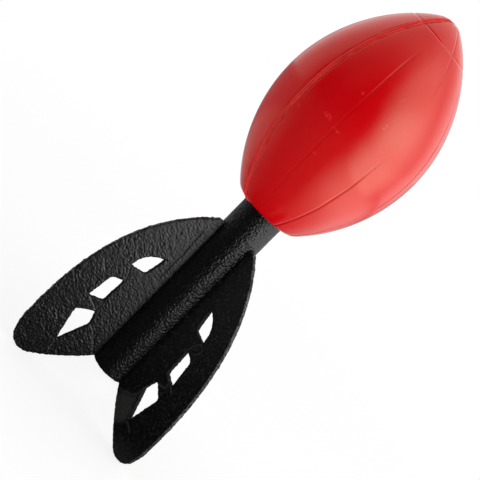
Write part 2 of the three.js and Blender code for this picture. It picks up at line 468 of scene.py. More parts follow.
def place_in_mould(tree, value, place):
    """Azimuth, radius and height about the mould's cores.

    The cores lean a little from the head's axis, about its widest section.
    """
    above = add(tree, "ShaderNodeSeparateXYZ", {0: place}).outputs["Z"]
    rise = add(tree, "ShaderNodeMath", {0: above, 1: value["Lean Centre Height"]},
               operation="SUBTRACT")
    lean = add(tree, "ShaderNodeMath", {0: rise, 1: value["Lean"]}, operation="MULTIPLY")
    aside = add(tree, "ShaderNodeCombineXYZ", {"X": lean})
    lean_offset = add(tree, "ShaderNodeVectorRotate",
                      {"Vector": aside, "Angle": value["Lean Azimuth"]}, rotation_type="Z_AXIS")
    from_core = add(tree, "ShaderNodeVectorMath", {0: place, 1: lean_offset},
                    operation="SUBTRACT")
    axes = add(tree, "ShaderNodeSeparateXYZ", {0: from_core}).outputs
    azimuth = add(tree, "ShaderNodeMath", {0: axes["Y"], 1: axes["X"]}, operation="ARCTAN2")
    level = add(tree, "ShaderNodeCombineXYZ", {"X": axes["X"], "Y": axes["Y"]})
    radius = add(tree, "ShaderNodeVectorMath", {0: level}, operation="LENGTH").outputs["Value"]
    return azimuth, radius, axes["Z"]


def nearest_line(tree, value, azimuth, radius, height):
    """The distance to the nearest mould line, and 1 where that is a parting line."""
    from_parting = add(tree, "ShaderNodeMath", {0: azimuth, 1: value["Parting Azimuth"]},
                       operation="SUBTRACT")
    panel = add(tree, "ShaderNodeMath", {0: 2 * math.pi, 1: value["Line Count"]},
                operation="DIVIDE")
    panels = add(tree, "ShaderNodeMath", {0: from_parting, 1: panel}, operation="DIVIDE")
    line = add(tree, "ShaderNodeMath", {0: panels}, operation="ROUND")
    past_line = add(tree, "ShaderNodeMath", {0: panels, 1: line}, operation="SUBTRACT")
    past_angle = add(tree, "ShaderNodeMath", {0: past_line, 1: panel}, operation="MULTIPLY")
    in_half = add(tree, "ShaderNodeMath", {0: line, 1: value["Parting Every"]},
                  operation="FLOORED_MODULO")
    is_parting = add(tree, "ShaderNodeMath", {0: in_half, 1: 0.5}, operation="LESS_THAN")
    drift = add(tree, "ShaderNodeMath", {0: is_parting, 1: value["Parting Drift"]},
                operation="MULTIPLY")
    past_drift = add(tree, "ShaderNodeMath", {0: past_angle, 1: drift}, operation="SUBTRACT")
    past = add(tree, "ShaderNodeMath", {0: past_drift, 1: radius}, operation="MULTIPLY")

    # Each line wanders a little, as a hand-filed joint does
    along_line = add(tree, "ShaderNodeCombineXYZ", {"X": line, "Z": height})
    wander = pattern(tree, value["Wander Length"], {"Vector": along_line, "Detail": 1.0},
                     {"To Min": -1.0, "To Max": 1.0})
    sway = add(tree, "ShaderNodeMath", {0: wander, 1: value["Line Wander"], 2: past},
               operation="MULTIPLY_ADD")
    return add(tree, "ShaderNodeMath", {0: sway}, operation="ABSOLUTE"), is_parting


def groove_height(tree, value, distance):
    """A groove, pressed where two of the mould's cores meet."""
    groove = add(tree, "ShaderNodeMapRange",
                 {"Value": distance, "From Max": value["Line Half Width"],
                  "To Min": -1.0, "To Max": 0.0}, interpolation_type="SMOOTHERSTEP")
    return add(tree, "ShaderNodeMath", {0: groove, 1: value["Groove Depth"]},
               operation="MULTIPLY")


def flash_height(tree, value, place, across):
    """A double bead of trimmed, lumpy flash, with a narrow valley each side."""
    bead = add(tree, "ShaderNodeFloatCurve", {"Value": across})
    curve = bead.mapping.curves[0]
    curve.points[0].location, curve.points[1].location = FLASH_SECTION[0], FLASH_SECTION[-1]
    for point in FLASH_SECTION[1:-1]:
        curve.points.new(*point)
    bead.mapping.update()
    skin_level = FLASH_SECTION[-1][1]
    rise = add(tree, "ShaderNodeMath", {0: bead, 1: skin_level}, operation="SUBTRACT")
    lumps = pattern(tree, value["Flash Lump Size"], {"Vector": place, "Detail": 2.0},
                    {"From Min": 0.3, "From Max": 0.7, "To Min": 0.4, "To Max": 1.6})
    lumpy = add(tree, "ShaderNodeMath", {0: rise, 1: lumps}, operation="MULTIPLY")
    return add(tree, "ShaderNodeMath", {0: lumpy, 1: value["Flash Height"]},
               operation="MULTIPLY")


def ring_depth(tree, value, radius, height):
    """The groove round the nose, where the mould's insert ends."""
    from_ring = add(tree, "ShaderNodeMath", {0: radius, 1: value["Ring Radius"]},
                    operation="SUBTRACT")
    beside_ring = add(tree, "ShaderNodeMath", {0: from_ring}, operation="ABSOLUTE")
    ring = add(tree, "ShaderNodeMapRange",
               {"Value": beside_ring, "From Max": value["Ring Half Width"],
                "To Min": 1.0, "To Max": 0.0}, interpolation_type="SMOOTHERSTEP")
    on_nose = add(tree, "ShaderNodeMath", {0: height, 1: value["Ring Zone Bottom"]},
                  operation="GREATER_THAN")
    nose_ring = add(tree, "ShaderNodeMath", {0: ring, 1: on_nose}, operation="MULTIPLY")
    return add(tree, "ShaderNodeMath", {0: nose_ring, 1: value["Ring Depth"]},
               operation="MULTIPLY")


def mould_line_tree(material):
    """Presses the mould lines, the nose ring and the moulding's own unevenness into the head."""
    ring_height = float(oval(angle_at(NOSE_RING_RADIUS), NOSE_OVAL_LENGTH)[0, 1])
    tree, value = start_tree("mould lines", {
        "Line Count": MOULD_LINES,
        "Parting Azimuth": PARTING_AZIMUTH,
        "Parting Every": PARTING_EVERY,
        "Parting Drift": PARTING_DRIFT,
        "Lean": CORE_LEAN,
        "Lean Azimuth": CORE_LEAN_AZIMUTH,
        "Lean Centre Height": WIDEST_HEIGHT,
        "Line Half Width": 1.1 * MM,
        "Line Wander": 0.35 * MM,
        "Wander Length": 14 * MM,
        "Line Fade Start": 1.2 * MM,
        "Line Fade End": 4 * MM,
        "Groove Depth": 0.34 * MM,
        "Flash Height": 1.0 * MM,
        "Flash Half Width": 1.65 * MM,
        "Flash Lump Size": 2.1 * MM,
        "Ring Radius": NOSE_RING_RADIUS,
        "Ring Depth": 0.26 * MM,
        "Ring Half Width": 0.7 * MM,
        "Ring Zone Bottom": ring_height - 20 * MM,
        "Skin Unevenness": 0.14 * MM,
        "Unevenness Length": 17 * MM,
    })
    place = add(tree, "GeometryNodeInputPosition")
    azimuth, radius, height = place_in_mould(tree, value, place)
    distance, is_parting = nearest_line(tree, value, azimuth, radius, height)
    across_flash = add(tree, "ShaderNodeMath", {0: distance, 1: value["Flash Half Width"]},
                       operation="DIVIDE", use_clamp=True)
    line_height = add(tree, "ShaderNodeMix", {
        "Factor": is_parting,
        "A": groove_height(tree, value, distance),
        "B": flash_height(tree, value, place, across_flash),
    })

    # Each line has its own strength along its way, and all of them fade out at the nose
    strength, on_skin = (
        add(tree, "GeometryNodeInputNamedAttribute", {"Name": name}, data_type="FLOAT")
        for name in ("line_strength", "on_skin"))
    nose_fade = add(tree, "ShaderNodeMapRange",
                    {"Value": radius, "From Min": value["Line Fade Start"],
                     "From Max": value["Line Fade End"]}, interpolation_type="SMOOTHSTEP")
    strong = add(tree, "ShaderNodeMath", {0: strength, 1: nose_fade}, operation="MULTIPLY")
    pressed = add(tree, "ShaderNodeMath", {0: line_height, 1: strong}, operation="MULTIPLY")
    pressed_and_ringed = add(
        tree, "ShaderNodeMath", {0: pressed, 1: ring_depth(tree, value, radius, height)},
        operation="SUBTRACT")

    # Slow unevenness of a soft foam skin. Nothing moves inside the socket.
    uneven = pattern(tree, value["Unevenness Length"], {"Vector": place, "Detail": 2.0}, CENTRED)
    skin_height = add(tree, "ShaderNodeMath",
                      {0: uneven, 1: value["Skin Unevenness"], 2: pressed_and_ringed},
                      operation="MULTIPLY_ADD")
    moved = add(tree, "ShaderNodeMath", {0: skin_height, 1: on_skin}, operation="MULTIPLY")
    on_bead = add(tree, "ShaderNodeMapRange",
                  {"Value": across_flash, "From Min": 0.8, "To Min": 1.0, "To Max": 0.0})
    flash = add(tree, "ShaderNodeMath", {0: on_bead, 1: is_parting}, operation="MULTIPLY")
    kept = keep(tree, value["Geometry"], {"mould_line": pressed_and_ringed, "flash": flash})
    end_tree(tree, push_out(tree, kept, moved), material)
    return tree


def make_head(material):
    socket, skin = head_section()
    azimuths = gathered_azimuths()
    mesh = turned_mesh("foam_head_skin", np.vstack([socket, skin]), azimuths)
    first_skin_point = 1 + (len(socket) - 1) * len(azimuths)
    on_skin = np.zeros(len(mesh.vertices))
    on_skin[first_skin_point + len(azimuths):] = 1
    mark(mesh, "on_skin", on_skin)
    mark(mesh, "line_strength", line_strengths(np.array([v.co for v in mesh.vertices])))
    head = new_piece("foam_head_skin", mesh)
    shape_with(head, mould_line_tree(material), {})
    return head


# Tail shaft

def slotted_rod_tree(material):
    """A round rod with slots cut along it from its tail end."""
    length = SHAFT_SHOWING + SOCKET_DEPTH - GLUE_FILM
    tree, value = start_tree("slotted rod", {
        "Radius": SHAFT_RADIUS,
        "Length": length,
        "Slot Count": FIN_COUNT,
        "Slot Depth": SLOT_DEPTH,
        "Slot Width": SLOT_WIDTH,
        "Slot Length": SLOT_LENGTH,
        "First Slot Azimuth": FIRST_FIN_AZIMUTH,
    })
    rod = add(tree, "GeometryNodeMeshCylinder",
              {"Vertices": SHAFT_SEGMENTS, "Radius": value["Radius"], "Depth": value["Length"]})
    half_length = add(tree, "ShaderNodeMath", {0: value["Length"], 1: 0.5}, operation="MULTIPLY")
    lift = add(tree, "ShaderNodeCombineXYZ", {"Z": half_length})
    standing = add(tree, "GeometryNodeTransform", {"Geometry": rod, "Translation": lift})

    # One cutter, open past the rod's skin and its tail end
    depth = add(tree, "ShaderNodeMath", {0: value["Slot Depth"], 1: CUT_OVERRUN})
    reach = add(tree, "ShaderNodeMath", {0: value["Slot Length"], 1: CUT_OVERRUN})
    size = add(tree, "ShaderNodeCombineXYZ", {"X": depth, "Y": value["Slot Width"], "Z": reach})
    cutter = add(tree, "GeometryNodeMeshCube", {"Size": size})
    outer = add(tree, "ShaderNodeMath", {0: value["Radius"], 1: CUT_OVERRUN})
    half_depth = add(tree, "ShaderNodeMath", {0: depth, 1: 0.5}, operation="MULTIPLY")
    cutter_x = add(tree, "ShaderNodeMath", {0: outer, 1: half_depth}, operation="SUBTRACT")
    half_reach = add(tree, "ShaderNodeMath", {0: reach, 1: 0.5}, operation="MULTIPLY")
    cutter_z = add(tree, "ShaderNodeMath", {0: half_reach, 1: CUT_OVERRUN},
                   operation="SUBTRACT")
    aside = add(tree, "ShaderNodeCombineXYZ", {"X": cutter_x, "Z": cutter_z})
    placed = add(tree, "GeometryNodeTransform", {"Geometry": cutter, "Translation": aside})

    # The cutters stand round the axis on as many loose points, each turned by its own share
    points = add(tree, "GeometryNodePoints", {"Count": value["Slot Count"]})
    index = add(tree, "GeometryNodeInputIndex")
    step = add(tree, "ShaderNodeMath", {0: 2 * math.pi, 1: value["Slot Count"]},
               operation="DIVIDE")
    azimuth = add(tree, "ShaderNodeMath", {0: index, 1: step, 2: value["First Slot Azimuth"]},
                  operation="MULTIPLY_ADD")
    turn = add(tree, "ShaderNodeCombineXYZ", {"Z": azimuth})
    cutters = add(tree, "GeometryNodeInstanceOnPoints",
                  {"Points": points, "Instance": placed, "Rotation": turn})
    real_cutters = add(tree, "GeometryNodeRealizeInstances", {"Geometry": cutters})
    slotted = add(tree, "GeometryNodeMeshBoolean", {"Mesh 1": standing, "Mesh 2": real_cutters},
                  operation="DIFFERENCE")
    end_tree(tree, slotted, material)
    return tree


def extruded_skin_tree(material):
    """Gives the rod the pebbled skin of extruded foam, and an open, torn grain on its sawn end."""
    tree, value = start_tree("extruded skin", {
        "Pebble Size": 1.7 * MM,
        "Pebble Height": 0.22 * MM,
        "Wave Size": 9 * MM,
        "Wave Height": 0.22 * MM,
        "Sawn Grain Size": 1.1 * MM,
        "Sawn Grain Height": 0.3 * MM,
    })
    place = add(tree, "GeometryNodeInputPosition")
    pebble = pattern(tree, value["Pebble Size"],
                     {"Vector": place, "Detail": 2.5, "Roughness": 0.6, "Distortion": 0.5},
                     {"From Min": 0.25, "From Max": 0.75, **CENTRED})
    wave = pattern(tree, value["Wave Size"], {"Vector": place}, CENTRED)
    wave_height = add(tree, "ShaderNodeMath", {0: wave, 1: value["Wave Height"]},
                      operation="MULTIPLY")
    skin_height = add(tree, "ShaderNodeMath",
                      {0: pebble, 1: value["Pebble Height"], 2: wave_height},
                      operation="MULTIPLY_ADD")

    grain_scale = add(tree, "ShaderNodeMath", {0: 1.0, 1: value["Sawn Grain Size"]},
                      operation="DIVIDE")
    cells = add(tree, "ShaderNodeTexVoronoi", {"Vector": place, "Scale": grain_scale})
    torn = add(tree, "ShaderNodeMath", {0: cells.outputs["Distance"], 1: -0.5})
    torn_height = add(tree, "ShaderNodeMath", {0: torn, 1: value["Sawn Grain Height"]},
                      operation="MULTIPLY")
    normal = add(tree, "GeometryNodeInputNormal")
    upward = add(tree, "ShaderNodeSeparateXYZ", {0: normal}).outputs["Z"]
    sawn = add(tree, "ShaderNodeMapRange",
               {"Value": upward, "From Min": -0.6, "From Max": -0.9})
    height = add(tree, "ShaderNodeMix", {"Factor": sawn, "A": skin_height, "B": torn_height})
    kept = keep(tree, value["Geometry"], {"sawn": sawn})
    end_tree(tree, push_out(tree, kept, height), material)
    return tree


def make_shaft(material):
    shaft = new_piece("tail_shaft_skin", bpy.data.meshes.new("tail_shaft_skin"))
    shape_with(shaft, slotted_rod_tree(material), {})
    remesh(shaft, SHAFT_VOXEL)
    shape_with(shaft, extruded_skin_tree(material), {})
    return shaft


# Fins

def merged_copy(node):
    """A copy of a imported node's loose triangles, with its corners joined."""
    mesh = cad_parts[node].data.copy()
    shape = bmesh.new()
    shape.from_mesh(mesh)
    bmesh.ops.remove_doubles(shape, verts=shape.verts, dist=MERGE_DISTANCE)
    shape.to_mesh(mesh)
    shape.free()
    return mesh


def distance_to_line(points, line):
    """How far each point of the fin's plane is from a line of straight pieces."""
    nearest = np.full(len(points), np.inf)
    for start, end in zip(line[:-1], line[1:]):
        run = end - start
        share = np.clip((points - start) @ run / (run @ run), 0, 1)
        offset = points - (start + share[:, None] * run)
        nearest = np.minimum(nearest, np.linalg.norm(offset, axis=1))
    return nearest


def inside_loop(points, corners):
    """Whether each point lies inside a loop, by how often a ray from it crosses the loop."""
    inside = np.zeros(len(points), bool)
    for start, end in zip(corners, np.roll(corners, -1, axis=0)):
        spans = (start[1] > points[:, 1]) != (end[1] > points[:, 1])
        rise = np.where(spans, end[1] - start[1], 1)
        crossing = start[0] + (points[:, 1] - start[1]) * (end[0] - start[0]) / rise
        inside ^= spans & (points[:, 0] < crossing)
    return inside


def mark_creases(mesh, creases, folded_corner):
    """Marks how deep each point lies in a crease, and how far inside the folded corner."""
    points = np.array([(v.co.z, v.co.y - SHAFT_RADIUS) for v in mesh.vertices])
    depth = np.zeros(len(points))
    for crease in creases:
        distance = distance_to_line(points, np.array(crease, float) * MM)
        depth = np.maximum(depth, np.exp(-(distance / CREASE_WIDTH) ** 2))
    mark(mesh, "crease", depth)
    folded = np.zeros(len(points))
    if folded_corner:
        corners = np.array(folded_corner, float) * MM
        loop = np.vstack([corners, corners[:1]])
        share = np.clip(distance_to_line(points, loop) / FOLD_SOFTNESS, 0, 1)
        folded = np.where(inside_loop(points, corners), share, 0.0)
    mark(mesh, "folded", folded)


def wrinkles(tree, value, place, sheet_facing):
    """The sheet's wrinkles, from 0 to 1, and their height. One face has more of them."""
    # They run at an angle to the shaft, so the pattern is turned, then stretched
    turned = add(tree, "ShaderNodeVectorRotate",
                 {"Vector": place, "Angle": value["Wrinkle Angle"]}, rotation_type="X_AXIS")
    width, length = value["Wrinkle Width"], value["Wrinkle Length"]
    size = add(tree, "ShaderNodeCombineXYZ", {"X": width, "Y": width, "Z": length})
    stretched = add(tree, "ShaderNodeVectorMath", {0: turned, 1: size}, operation="DIVIDE")
    noise = add(tree, "ShaderNodeTexNoise",
                {"Vector": stretched, "W": value["Seed"], "Scale": 1.0, "Detail": 3.0,
                 "Roughness": 0.6, "Distortion": 1.5}, noise_dimensions="4D")
    wrinkle = add(tree, "ShaderNodeMapRange",
                  {"Value": noise, "From Min": 0.28, "From Max": 0.72},
                  interpolation_type="SMOOTHSTEP")
    centred = add(tree, "ShaderNodeMath", {0: wrinkle, 1: 0.5}, operation="SUBTRACT")
    calm = pattern(tree, value["Calm Patch Size"],
                   {"Vector": place, "W": value["Seed"], "Detail": 1.0},
                   {"From Min": 0.3, "From Max": 0.7, "To Min": 0.4, "To Max": 1.1},
                   noise_dimensions="4D")
    face_share = add(tree, "ShaderNodeMapRange",
                     {"Value": sheet_facing, "From Min": -0.4, "From Max": 0.4,
                      "To Min": 1.0, "To Max": value["Smooth Face Share"]})
    height = centred
    for share in (calm, face_share, value["Wrinkle Height"]):
        height = add(tree, "ShaderNodeMath", {0: height, 1: share}, operation="MULTIPLY")
    return wrinkle, height


def warp(tree, value, place, showing):
    """How the sheet stands less and less flat, the farther it is from the shaft."""
    bend = pattern(tree, value["Warp Length"],
                   {"Vector": place, "W": value["Seed"], "Detail": 0.0}, CENTRED,
                   noise_dimensions="4D")
    share = add(tree, "ShaderNodeMapRange", {"Value": showing, "From Max": value["Warp Reach"]},
                interpolation_type="SMOOTHSTEP")
    limit = add(tree, "ShaderNodeMath", {0: share, 1: value["Warp Height"]},
                operation="MULTIPLY")
    sideways = add(tree, "ShaderNodeMath", {0: bend, 1: limit}, operation="MULTIPLY")
    return add(tree, "ShaderNodeCombineXYZ", {"X": sideways})


def sheet_skin_tree(material):
    """Wrinkles the sheet's skin, presses its creases, frays its cut edges and warps it."""
    tree, value = start_tree("sheet skin", {
        "Wrinkle Width": 1.2 * MM,
        "Wrinkle Length": 2.6 * MM,
        "Wrinkle Angle": math.radians(45),
        "Wrinkle Height": 0.6 * MM,
        "Smooth Face Share": 0.3,
        "Calm Patch Size": 16 * MM,
        "Crease Depth": 0.5 * MM,
        "Fray Size": 1.7 * MM,
        "Fray Height": 1.8 * MM,
        "Root Height": SHAFT_RADIUS,
        "Root Fade": 1.2 * MM,
        "Warp Height": 0.9 * MM,
        "Warp Length": 70 * MM,
        "Warp Reach": 25 * MM,
        "Seed": 1.0,
    })
    place = add(tree, "GeometryNodeInputPosition")
    normal = add(tree, "GeometryNodeInputNormal")
    sheet_facing = add(tree, "ShaderNodeSeparateXYZ", {0: normal}).outputs["X"]
    wrinkle, wrinkle_height = wrinkles(tree, value, place, sheet_facing)
    crease = add(tree, "GeometryNodeInputNamedAttribute", {"Name": "crease"}, data_type="FLOAT")
    crease_depth = add(tree, "ShaderNodeMath", {0: crease, 1: value["Crease Depth"]},
                       operation="MULTIPLY")
    face_height = add(tree, "ShaderNodeMath", {0: wrinkle_height, 1: crease_depth},
                      operation="SUBTRACT")

    # Die-cut walls face along the sheet, not across it
    across = add(tree, "ShaderNodeMath", {0: sheet_facing}, operation="ABSOLUTE")
    cut_face = add(tree, "ShaderNodeMapRange",
                   {"Value": across, "From Min": 0.85, "From Max": 0.45})
    fray = pattern(tree, value["Fray Size"],
                   {"Vector": place, "W": value["Seed"], "Detail": 2.0}, CENTRED,
                   noise_dimensions="4D")
    fray_height = add(tree, "ShaderNodeMath", {0: fray, 1: value["Fray Height"]},
                      operation="MULTIPLY")
    rough_height = add(tree, "ShaderNodeMix",
                       {"Factor": cut_face, "A": face_height, "B": fray_height})

    # Nothing moves in the shaft's slot
    up = add(tree, "ShaderNodeSeparateXYZ", {0: place}).outputs["Y"]
    showing = add(tree, "ShaderNodeMath", {0: up, 1: value["Root Height"]},
                  operation="SUBTRACT")
    free = add(tree, "ShaderNodeMath", {0: showing, 1: value["Root Fade"]},
               operation="DIVIDE", use_clamp=True)
    height = add(tree, "ShaderNodeMath", {0: rough_height, 1: free}, operation="MULTIPLY")
    kept = keep(tree, value["Geometry"], {"wrinkle": wrinkle, "cut_face": cut_face})
    skinned = push_out(tree, kept, height)
    warped = add(tree, "GeometryNodeSetPosition",
                 {"Geometry": skinned, "Offset": warp(tree, value, place, showing)})
    end_tree(tree, warped, material)
    return tree


def mark_outer_edge(mesh):
    """Marks the points of the sheet's outer edge: past them there is no more of the sheet."""
    sheet = BVHTree.FromPolygons([v.co for v in mesh.vertices],
                                 [tuple(p.vertices) for p in mesh.polygons])
    outer = np.zeros(len(mesh.vertices))
    for vertex in mesh.vertices:
        if abs(vertex.normal.x) < EDGE_FACING:
            along = Vector((0, vertex.normal.y, vertex.normal.z)).normalized()
            past = sheet.ray_cast(vertex.co + EDGE_CLEARANCE * along, along)
            outer[vertex.index] = past[0] is None
    mark(mesh, "outer_edge", outer)


def make_fins(material):
    """The three fins: one die-cut sheet each, worked where the first stands, then turned."""
    tree = sheet_skin_tree(material)
    blank = new_piece("fin blank", merged_copy("fin_1"))
    remesh(blank, FIN_VOXEL)
    mark_outer_edge(blank.data)
    fins = []
    for index, (node, creases) in enumerate(FIN_CREASES.items()):
        fin = new_piece(node + "_sheet", blank.data.copy())
        mark_creases(fin.data, creases, FOLDED_CORNERS.get(node))
        shape_with(fin, tree, {"Seed": FIN_SEEDS[node]})
        fin.data.transform(Matrix.Rotation(index * 2 * math.pi / FIN_COUNT, 4, "Z"))
        fins.append(fin)
    bpy.data.objects.remove(blank)
    return fins


# Materials

def start_material(name):
    material = bpy.data.materials.new(name)
    material.use_nodes = True
    material.node_tree.nodes.clear()
    return material, material.node_tree


def end_material(tree, finish):
    surface = add(tree, "ShaderNodeBsdfPrincipled", finish)
    add(tree, "ShaderNodeOutputMaterial", {"Surface": surface})


def kept_numbers(tree, *names):
    """The numbers that the geometry keeps under these names."""
    return [add(tree, "ShaderNodeAttribute", attribute_name=name).outputs["Fac"]
            for name in names]


def layered(tree, base, layers):
    """Lays colours over a base, each by its share. A colour is a hex value or a node."""
    colour = linear(base)
    for share, over in layers:
        over = linear(over) if isinstance(over, str) else over
        colour = add(tree, "ShaderNodeMix", {"Factor": share, "A": colour, "B": over},
                     data_type="RGBA")
    return colour


def blots(tree, place, marks):
    """Where small blots lie on the head, each solid in its middle third."""
    found = None
    for azimuth, height, size, squeeze in marks:
        radius = float(np.interp(height * MM, HEAD_PROFILE[:, 1], HEAD_PROFILE[:, 0]))
        centre = radius * direction(azimuth) + Vector((0, 0, height * MM))
        offset = add(tree, "ShaderNodeVectorMath", {0: place, 1: centre}, operation="SUBTRACT")
        squeezed = add(tree, "ShaderNodeVectorMath", {0: offset, 1: squeeze},
                       operation="MULTIPLY")
        length = add(tree, "ShaderNodeVectorMath", {0: squeezed}, operation="LENGTH")
        blot = add(tree, "ShaderNodeMapRange",
                   {"Value": length.outputs["Value"], "From Min": 0.3 * size * MM,
                    "From Max": size * MM, "To Min": 1.0, "To Max": 0.0})
        if found:
            blot = add(tree, "ShaderNodeMath", {0: found, 1: blot}, operation="MAXIMUM")
        found = blot
    return found


def self_skinned_polyurethane_foam():
    """Soft integral-skin PU foam, cast in a two-part mould and coloured through.

    The skin is closed and satin, so large lamps show in it as broad soft sheens. It carries a
    faint orange peel, slow differences in its red, a few pin holes where gas bubbles broke, whose
    dark red is painted shade, and short pale scuffs. Small pits are only darker red dots, painted
    shade. The flash along a parting line is torn off by hand: its ridges are dull and painted a
    brighter red with paler spots, a painted highlight, and the valleys beside them and the grooves
    are painted darker, a painted shade.
    """
    material, tree = start_material("self-skinned polyurethane foam, red")
    place = add(tree, "ShaderNodeTexCoord").outputs["Object"]
    pressed, flash = kept_numbers(tree, "mould_line", "flash")
    blotches = add(tree, "ShaderNodeTexNoise",
                   {"Vector": place, "Scale": 1 / (22 * MM), "Detail": 3.0})

    # Pin holes: one cell in five of a coarse pattern holds one, half a millimetre across. Their
    # dark red, laid on below, is painted shade inside them
    holes = add(tree, "ShaderNodeTexVoronoi", {"Vector": place, "Scale": 1 / (11 * MM)})
    hole_cell = add(tree, "ShaderNodeSeparateColor", {0: holes.outputs["Color"]})
    hole_chosen = add(tree, "ShaderNodeMath", {0: hole_cell, 1: 0.8}, operation="GREATER_THAN")
    hole_spot = add(tree, "ShaderNodeMapRange",
                    {"Value": holes.outputs["Distance"], "From Min": 0.02, "From Max": 0.05,
                     "To Min": 1.0, "To Max": 0.0})
    hole = add(tree, "ShaderNodeMath", {0: hole_chosen, 1: hole_spot}, operation="MULTIPLY")

    # The flash's ridges are painted a brighter red with paler spots, a painted highlight with
    # painted glints, and the valleys and grooves are painted darker, a painted shade
    ridge = add(tree, "ShaderNodeMapRange",
                {"Value": pressed, "From Min": 0.03 * MM, "From Max": 0.15 * MM})
    valley = add(tree, "ShaderNodeMapRange",
                 {"Value": pressed, "From Min": -0.12 * MM, "From Max": -0.32 * MM,
                  "To Max": 0.5})
    # Paler spots on the ridges: painted glints
    ridge_glints = pattern(tree, 1.2 * MM, {"Vector": place, "Detail": 2.0},
                         {"From Min": 0.4, "From Max": 0.65})
    ridge_highlight_red = layered(tree, "#FF060F", [(ridge_glints, "#FF242A")])
    # Darker still in the valleys beside the flash: painted shade
    valley_shade_red = layered(tree, "#B4020B", [(flash, "#680106")])

    # Nicks and scuffs: the skin is torn in shreds where it is scratched
    shreds = pattern(tree, 0.9 * MM, {"Vector": place, "Detail": 2.0},
                     {"From Min": 0.4, "From Max": 0.62})
    scuff = add(tree, "ShaderNodeMath", {0: blots(tree, place, SCUFFS), 1: shreds},
                operation="MULTIPLY")
    # Darker red dots at the pits: painted shade
    pit_shade = blots(tree, place, PITS)

    # Over the base red: random blotches, pale scuffs, painted shade in the pin holes, valleys and
    # pits, and a painted highlight on the ridges
    red = layered(tree, "#D2040F", [
        (blotches, "#CA040E"),
        (hole, "#7E0A10"),
        (ridge, ridge_highlight_red),
        (valley, valley_shade_red),
        (scuff, "#E8362E"),
        (pit_shade, "#A00A12"),
    ])
    satin = add(tree, "ShaderNodeMapRange", {"Value": blotches, "To Min": 0.13, "To Max": 0.17})
    roughness = add(tree, "ShaderNodeMix", {"Factor": flash, "A": satin, "B": 0.7})
    peel = add(tree, "ShaderNodeTexNoise",
               {"Vector": place, "Scale": 1 / (1.6 * MM), "Detail": 2.0})
    peel_bump = add(tree, "ShaderNodeBump", {"Height": peel, "Distance": 0.02 * MM})
    hole_bump = add(tree, "ShaderNodeBump",
                    {"Height": hole, "Distance": 0.2 * MM, "Normal": peel_bump}, invert=True)
    end_material(tree, {
        "Base Color": red,
        "Roughness": roughness,
        "IOR": 1.5,
        "Specular IOR Level": 0.8,
        "Specular Tint": linear("#FFF8DC"),
        "Normal": hole_bump,
    })
    return material


def extruded_polyethylene_foam():
    """Black closed-cell PE foam rod, extruded hot so that it has a skin of its own.

    The skin is pebbled like leather and slightly waxy: it glints in small flecks where it
    faces a lamp and is nearly black elsewhere. The sawn end shows open cells.
    """
    material, tree = start_material("extruded polyethylene foam, black")
    place = add(tree, "ShaderNodeTexCoord").outputs["Object"]
    [sawn] = kept_numbers(tree, "sawn")
    dust = add(tree, "ShaderNodeTexNoise",
               {"Vector": place, "Scale": 1 / (3 * MM), "Detail": 4.0, "Roughness": 0.7})
    roughness = add(tree, "ShaderNodeMapRange", {"Value": dust, "To Min": 0.13, "To Max": 0.34})
    # The real grain is about half as wide, which is too fine to show
    grain = add(tree, "ShaderNodeTexNoise",
                {"Vector": place, "Scale": 1 / (1.15 * MM), "Detail": 0.5})
    end_material(tree, {
        "Base Color": layered(tree, "#0B0B0C", [(dust, "#131314"), (sawn, "#1B1B1C")]),
        "Roughness": roughness,
        "IOR": 1.5,
        "Specular IOR Level": 0.42,
        "Normal": add(tree, "ShaderNodeBump", {"Height": grain, "Distance": 0.68 * MM}),
    })
    return material


